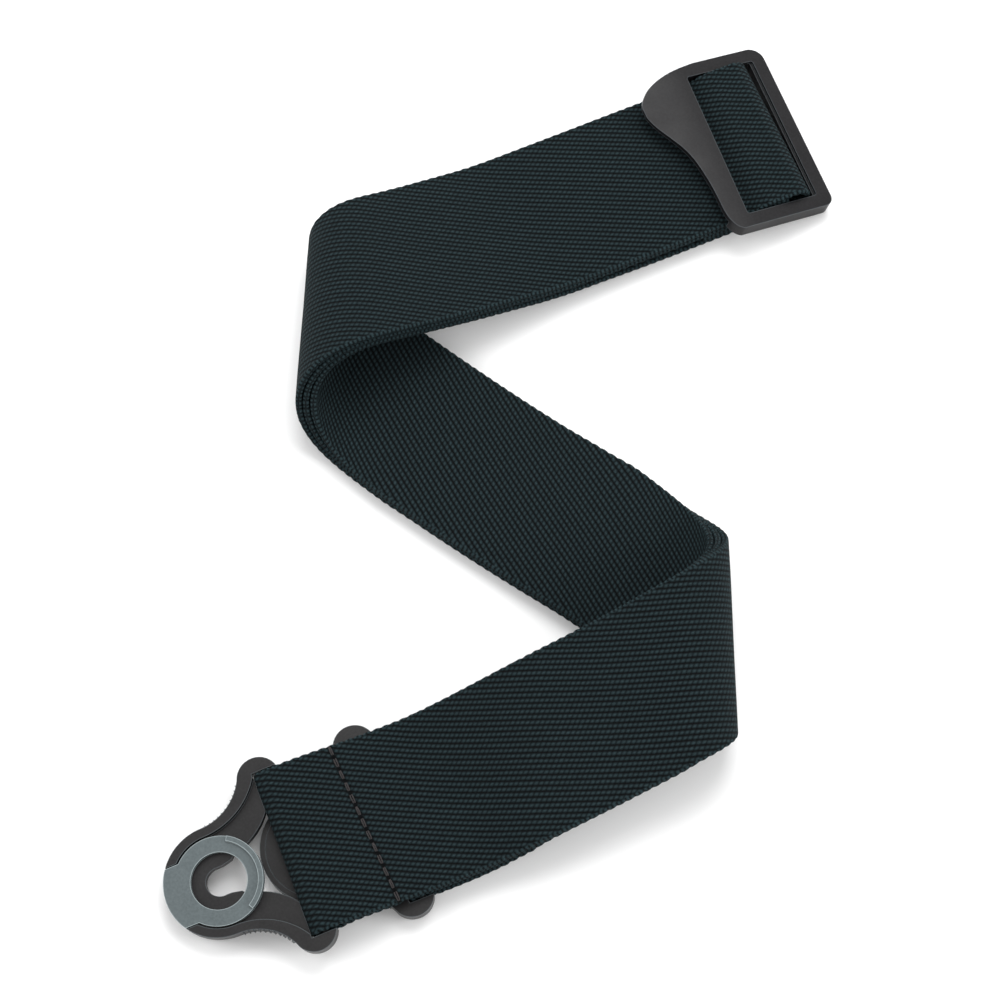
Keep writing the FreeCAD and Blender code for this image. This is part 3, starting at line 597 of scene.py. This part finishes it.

# %% [markdown]
# ## Twill
#
# Heavy polyester twill shows fat diagonal ribs. Each rib is a row of short slanted floats,
# where a warp yarn passes over several wefts, and the floats of one rib sit half a float
# beside those of the next. On this webbing the ribs lie 25 degrees clockwise from the
# strap's length and 1.6 mm apart, and a float is 1.4 mm long. The pattern is worked out on
# the flat cloth, so it bends with it. Painted shade makes the deep gaps between the yarns almost
# black, and a painted highlight lightens the crowns of the yarns: that is what gives heavy
# webbing its grainy look.


# %% Humps and the seam's shade
RIB_LEAN, RIB_PITCH, FLOAT_LENGTH = math.radians(25.0), 1.57 * MM, 1.42 * MM
FLOAT_SLANT, SELVEDGE_PITCH = -0.49, 1.4 * MM


def hump(tree, value, power):
    """sin(pi * fraction(value)) ** power: a row of rounded humps, one for each unit."""
    part = maths(tree, "FRACT", value)
    return maths(tree, "POWER", maths(tree, "SINE", maths(tree, "MULTIPLY", part, math.pi)), power)


def seam_shade(tree, cloth):
    """1 away from the seam, about a half beside the thread and 0 in the needle holes."""
    place = add(tree, "ShaderNodeSeparateXYZ", links={"Vector": cloth})
    slanted = maths(tree, "ADD", place.outputs[0], maths(tree, "MULTIPLY", place.outputs[1], SEAM_SLANT))
    beside = maths(tree, "ABSOLUTE", maths(tree, "SUBTRACT", slanted, (seam_at + SEAM_SLANT * HALF) * MM))
    first_hole = (FIRST_STITCH + (STITCH_LENGTH + STITCH_PITCH) / 2) * MM
    count = maths(tree, "MULTIPLY", maths(tree, "SUBTRACT", place.outputs[1], first_hole),
                  1.0 / (STITCH_PITCH * MM))
    to_hole = maths(tree, "MULTIPLY", maths(tree, "PINGPONG", count, 0.5), STITCH_PITCH * MM)
    reach = maths(tree, "SQRT", maths(tree, "ADD", maths(tree, "POWER", beside, 2.0),
                                      maths(tree, "POWER", to_hole, 2.0)))
    near_hole = add(tree, "ShaderNodeMapRange", {"interpolation_type": "SMOOTHSTEP"}, {
        "Value": reach, "From Min": 0.35 * MM, "From Max": 0.95 * MM}).outputs[0]
    near_seam = add(tree, "ShaderNodeMapRange", {"interpolation_type": "SMOOTHSTEP"}, {
        "Value": beside, "From Min": 0.3 * MM, "From Max": 1.3 * MM, "To Min": 0.35}).outputs[0]
    return maths(tree, "MULTIPLY", near_hole, near_seam)


def twill_height(tree, cloth):
    """Height of the weave, 0 in the gaps and 1 on the crowns, from the place on the cloth.

    q counts ribs and p counts floats along a rib. A float leans by half its length over the
    rib's width, one way on the face and the other way on the back.
    """
    place = add(tree, "ShaderNodeSeparateXYZ", links={"Vector": cloth})
    along, across, edge = place.outputs
    q = maths(tree, "ADD", maths(tree, "MULTIPLY", along, math.sin(RIB_LEAN) / RIB_PITCH),
              maths(tree, "MULTIPLY", across, math.cos(RIB_LEAN) / RIB_PITCH))
    p = maths(tree, "SUBTRACT", maths(tree, "MULTIPLY", along, math.cos(RIB_LEAN) / FLOAT_LENGTH),
              maths(tree, "MULTIPLY", across, math.sin(RIB_LEAN) / FLOAT_LENGTH))
    slant = maths(tree, "MULTIPLY", maths(tree, "SIGN", edge), FLOAT_SLANT)
    slanted = maths(tree, "ADD", p, maths(tree, "MULTIPLY", q, slant))
    floats = maths(tree, "ADD", maths(tree, "MULTIPLY", hump(tree, slanted, 0.8), 0.7), 0.3)
    face = maths(tree, "MULTIPLY", hump(tree, q, 1.1), floats)

    # the selvedge is plain: there the weft turns back
    turns = hump(tree, maths(tree, "MULTIPLY", along, 1.0 / SELVEDGE_PITCH), 0.8)
    at_edge = add(tree, "ShaderNodeMapRange", {"interpolation_type": "SMOOTHSTEP"}, {
        "Value": maths(tree, "ABSOLUTE", edge), "From Min": 0.955, "From Max": 0.985}).outputs[0]
    return add(tree, "ShaderNodeMix", {"data_type": "FLOAT"}, {0: at_edge, 2: face, 3: turns}).outputs[0]


def woven_twill(name, dark, light, sheen):
    """Dyed polyester twill: matt, with a faint sheen from its many fine fibres."""
    material, tree, shader = new_material(name)
    cloth = add(tree, "ShaderNodeAttribute", {"attribute_name": "cloth"}).outputs["Vector"]

    # no yarn lies quite straight
    stirred = add(tree, "ShaderNodeTexNoise", None, {
        "Vector": cloth, "Scale": 1.0 / (2.6 * MM), "Detail": 1.0})
    push = add(tree, "ShaderNodeVectorMath", {"operation": "MULTIPLY_ADD"}, {
        0: stirred.outputs["Color"], 1: (0.5 * MM, 0.5 * MM, 0.0), 2: cloth}).outputs[0]
    height = twill_height(tree, push)

    # yarns differ, each shows its fibres, and the dye drifts along the webbing
    grain = noise(tree, cloth, 0.22, 3.0)
    # painted shade and highlight: darker in the gaps between the yarns and lighter on their crowns, by the
    # weave's height
    shade_and_tone = maths(tree, "MULTIPLY", maths(tree, "POWER", height, 1.5), maths(tree, "ADD", grain, 0.35))
    for size_mm, detail, share, least in ((1.1, 1.0, 1.3, 0.3), (14.0, 3.0, 0.6, 0.75)):
        drift = maths(tree, "MULTIPLY", noise(tree, cloth, size_mm, detail), share)
        shade_and_tone = maths(tree, "MULTIPLY", shade_and_tone, maths(tree, "ADD", drift, least))
    shade_and_tone = maths(tree, "MULTIPLY", shade_and_tone, seam_shade(tree, cloth))
    tree.links.new(blend(tree, shade_and_tone, linear(dark), linear(light)), shader.inputs["Base Color"])
    shader.inputs["Roughness"].default_value = 0.8
    shader.inputs["Specular IOR Level"].default_value = 0.08
    shader.inputs["Sheen Weight"].default_value = 0.03
    shader.inputs["Sheen Roughness"].default_value = 0.5
    shader.inputs["Sheen Tint"].default_value = linear(sheen)
    emboss(tree, shader, maths(tree, "ADD", height, maths(tree, "MULTIPLY", grain, 0.3)), 0.5, 1.0)
    return material


# the gap colour is painted shade and the crown colour a painted highlight; the last colour is the sheen's
# tint
twill = woven_twill("dyed_polyester_twill", "#020304", "#2E3E42", "#7C9096")
webbing.data.materials.append(twill)
print("material:", twill.name, "nodes:", len(twill.node_tree.nodes))

# %% [markdown]
# ## The mouldings
#
# The lock frames and the slider are injection-moulded nylon and the gates acetal. Moulded
# edges are never sharp: a tool leaves a radius of a few tenths of a millimetre, and it is
# this radius that catches the light. Each CAD solid is copied, its loose triangles are
# joined back into faces, and a Bevel modifier gives the edges their radius.


# %% Round a CAD solid's edges
SHARP_ANGLE = math.radians(32.0)


def moulded(node, name, body, radius):
    """A joined copy of a CAD node with rounded edges, which stands for the node."""
    mesh = frame["nodes"][node].data.copy()
    shape = bmesh.new()
    shape.from_mesh(mesh)
    bmesh.ops.remove_doubles(shape, verts=shape.verts, dist=2e-6)
    bmesh.ops.dissolve_limit(shape, angle_limit=math.radians(1.0), verts=shape.verts, edges=shape.edges)
    for edge in shape.edges:
        edge.smooth = len(edge.link_faces) == 2 and edge.calc_face_angle(0.0) < SHARP_ANGLE
    for face in shape.faces:
        face.smooth = True
    shape.to_mesh(mesh)
    shape.free()
    mesh.materials.clear()
    thing = bpy.data.objects.new(name, mesh)
    scene.collection.objects.link(thing)
    bevel = thing.modifiers.new("moulded_radius", "BEVEL")
    bevel.width = radius * MM
    bevel.segments = 2
    bevel.limit_method = "ANGLE"
    bevel.angle_limit = SHARP_ANGLE
    bevel.harden_normals = True
    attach(thing, body)
    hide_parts(node)
    print(name, "faces:", len(mesh.polygons))
    return thing


# %% Moulded plastics
# reach of the painted edge highlight, in mm
EDGE_HIGHLIGHT_REACH = 0.4


def painted_edge_highlight(tree):
    """Mask of the painted edge highlight, 1 along an edge and 0 on a face: how far the normal,
    averaged over 0.4 mm around a point, leans from the normal at the point."""
    around = add(tree, "ShaderNodeBevel", {"samples": 8}, {"Radius": EDGE_HIGHLIGHT_REACH * MM}).outputs[0]
    here = add(tree, "ShaderNodeNewGeometry").outputs["Normal"]
    agree = add(tree, "ShaderNodeVectorMath", {"operation": "DOT_PRODUCT"}, {
        0: around, 1: here}).outputs["Value"]
    return add(tree, "ShaderNodeMapRange", None, {
        "Value": agree, "From Min": 0.995, "From Max": 0.93}).outputs[0]


def moulded_plastic(name, colour, worn, edge, roughness, gloss, grain_mm, depth_mm):
    """Injection-moulded plastic with a fine spark-eroded texture.

    The grain breaks the reflection up and shades part of it, so the gloss is weaker than on
    polished plastic; the roughness drifts a little over the surface, as handling polishes it,
    and the edges are painted a lighter rim, a painted highlight for the light they catch.
    """
    material, tree, shader = new_material(name)
    place = add(tree, "ShaderNodeTexCoord").outputs["Object"]
    grain = noise(tree, place, grain_mm, 3.0)
    handling = noise(tree, place, 9.0, 3.0)
    # the texture's peaks are rubbed lighter than its pits
    speckle = add(tree, "ShaderNodeMapRange", None, {
        "Value": noise(tree, place, 2 * grain_mm, 2.0), "From Min": 0.3, "From Max": 0.7}).outputs[0]
    wear = maths(tree, "ADD", maths(tree, "MULTIPLY", speckle, 0.6), maths(tree, "MULTIPLY", handling, 0.4))
    mixed = blend(tree, wear, linear(colour), linear(worn))
    # painted highlight: a lighter colour along the edges, for the light that the rounded edges catch
    tree.links.new(blend(tree, painted_edge_highlight(tree), mixed, linear(edge)), shader.inputs["Base Color"])
    rough = add(tree, "ShaderNodeMapRange", None, {
        "Value": handling, "From Min": 0.25, "From Max": 0.75, "To Min": roughness - 0.05,
        "To Max": roughness + 0.07}).outputs[0]
    tree.links.new(rough, shader.inputs["Roughness"])
    shader.inputs["IOR"].default_value = 1.5
    shader.inputs["Specular IOR Level"].default_value = gloss
    emboss(tree, shader, grain, depth_mm, 0.6)
    return material


# the last colour of each is the painted edge highlight
nylon = moulded_plastic("black_glass_filled_nylon", "#0E0D0E", "#1E1D1E", "#464C4F", 0.36, 0.32, 0.35, 0.03)
acetal = moulded_plastic("grey_acetal", "#495153", "#5A6365", "#939D9F", 0.36, 0.32, 0.35, 0.02)
slider_nylon = moulded_plastic("dark_grey_nylon", "#08080A", "#1A191B", "#3C4144", 0.38, 0.17, 0.35, 0.03)

# %% Locks and slider
for k in (1, 2):
    body = f"lock_{k}"
    pieces = [(moulded(f"{body}_frame", f"{body}_body", body, 0.35), nylon),
              (moulded(f"{body}_back_plate", f"{body}_cover", body, 0.12), nylon),
              (moulded(f"{body}_gate", f"{body}_ring_gate", f"gate_{k}", 0.22), acetal)]
    for piece, finish in pieces:
        piece.data.materials.append(finish)
slider = moulded("slider", "slider_frame", "adjuster", 0.6)
slider.data.materials.append(slider_nylon)

# %% [markdown]
# ## Return springs
#
# Each lock hides two small compression springs that push its gate forward. They are
# helices, which on the real lock shorten towards their fixed end as the gate slides back; here they keep
# their length.


# %% Springs
WIRE_R, COILS = 0.1, 11


def joint_axis(name):
    """The unit axis of a joint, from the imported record."""
    joint = next(j for j in frame["joints"] if j["name"] == name)
    return np.array(joint["axis"], float)


def spring_pair(k):
    """Lock k's two helices of round wire in place of its plain rods, with the axis that they
    shorten along and their fixed end. A point is centre + r (cos t y + sin t z) + x t, in the
    frame of x, the slide's axis, and y, the swing's."""
    x, y = joint_axis(f"gate_{k}_slide"), joint_axis(f"lock_{k}_swing")
    z = np.cross(x, y)
    solid = np.array([v.co for v in frame["nodes"][f"lock_{k}_return_springs"].data.vertices]) / MM
    local = solid @ np.column_stack([x, y, z])
    grids = []
    for chosen in (local[:, 1] > np.median(local[:, 1]), local[:, 1] <= np.median(local[:, 1])):
        low, high = local[chosen].min(0), local[chosen].max(0)
        centre, coil_r = (low + high) / 2, (high[1] - low[1]) / 2 - WIRE_R
        t = np.linspace(0, COILS * 2 * math.pi, COILS * 12 + 1)
        v = np.linspace(0, 2 * math.pi, 7)[:-1]
        reach = coil_r + WIRE_R * np.cos(v)[None, :]
        x_at = np.linspace(low[0] + WIRE_R, high[0] - WIRE_R, len(t))[:, None] + WIRE_R * np.sin(v)[None, :]
        grids.append(x_at[..., None] * x + (centre[1] + reach * np.cos(t)[:, None])[..., None] * y
                     + (centre[2] + reach * np.sin(t)[:, None])[..., None] * z)
    far = local[:, 0].max()
    anchor = (x * far + y * local[:, 1].mean() + z * local[:, 2].mean()) * MM
    return make_tubes(f"lock_{k}_springs", grids), x, anchor


def drawn_steel(name, colour):
    """Bright wire: metal, with the faint dull streaks that drawing through a die leaves."""
    material, tree, shader = new_material(name)
    shader.inputs["Base Color"].default_value = linear(colour)
    shader.inputs["Metallic"].default_value = 1.0
    place = add(tree, "ShaderNodeTexCoord").outputs["Object"]
    rough = add(tree, "ShaderNodeMapRange", None, {
        "Value": noise(tree, place, 0.3, 2.0), "To Min": 0.25, "To Max": 0.4})
    tree.links.new(rough.outputs[0], shader.inputs["Roughness"])
    return material


steel = drawn_steel("drawn_spring_steel", "#B4B4B8")
for k in (1, 2):
    coils, slide_axis, fixed = spring_pair(k)
    coils.data.materials.append(steel)
    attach(coils, f"lock_{k}")
    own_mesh(coils)
    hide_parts(f"lock_{k}_return_springs")
    print(coils.name, "faces:", len(coils.data.polygons))

# %% [markdown]
# ## The seam
#
# A single row of lockstitch, a little aslant, holds the flap under lock 1. The needle goes
# down every 3.85 mm and the doubled thread shows for 3.15 mm, between two small dark holes in
# a slight groove.

# %% Stitches
THREAD_R, STRANDS_APART = 0.18, 0.56


def stitch_row(name, axes):
    """Stitches in a row slantwise over the webbing: each is two strands of thread side by side,
    which rise out of their hole and dive into the next by the root of half a sine."""
    origin, ex, ey, ez = axes
    bed, rise = 0.75, 0.72
    starts = np.arange(FIRST_STITCH, HALF - STITCH_LENGTH, STITCH_PITCH)
    u = np.linspace(0, 1, 13)
    v = np.linspace(0, 2 * math.pi, 9)[:-1]
    arc = np.sqrt(np.sin(u * math.pi))
    grids = []
    for number, start in enumerate(starts):
        for side in (-1, 1):
            slack = 0.1 * math.sin(number * 2.3 + side)
            cy = start + u * STITCH_LENGTH
            row_x = SEAM_X + SEAM_SLANT * (HALF - cy)
            cx = row_x + side * STRANDS_APART / 2 * (0.4 + 0.6 * arc) + slack * u
            cz = top_lock_height(row_x) + THICK / 2 - bed + (rise + 0.1 * slack) * arc
            px = cx[:, None] + THREAD_R * np.cos(v)
            pz = cz[:, None] + THREAD_R * np.sin(v)
            py = np.broadcast_to(cy[:, None], px.shape)
            grids.append(origin + px[..., None] * ex + py[..., None] * ey + pz[..., None] * ez)
    print(name, "stitches:", len(starts))
    return make_tubes(name, grids)


def sewing_thread(name, colour, light):
    """Bonded polyester thread: two plies laid together, slightly glossy on the crown."""
    material, tree, shader = new_material(name)
    place = add(tree, "ShaderNodeTexCoord").outputs["Object"]
    twist = noise(tree, place, 0.25, 2.0)
    tree.links.new(blend(tree, twist, linear(colour), linear(light)), shader.inputs["Base Color"])
    shader.inputs["Roughness"].default_value = 0.6
    emboss(tree, shader, twist, 0.06, 0.5)
    return material


seam = stitch_row("flap_seam", lock_end)
seam.data.materials.append(sewing_thread("bonded_polyester_thread", "#121011", "#2C2627"))
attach(seam, "webbing")
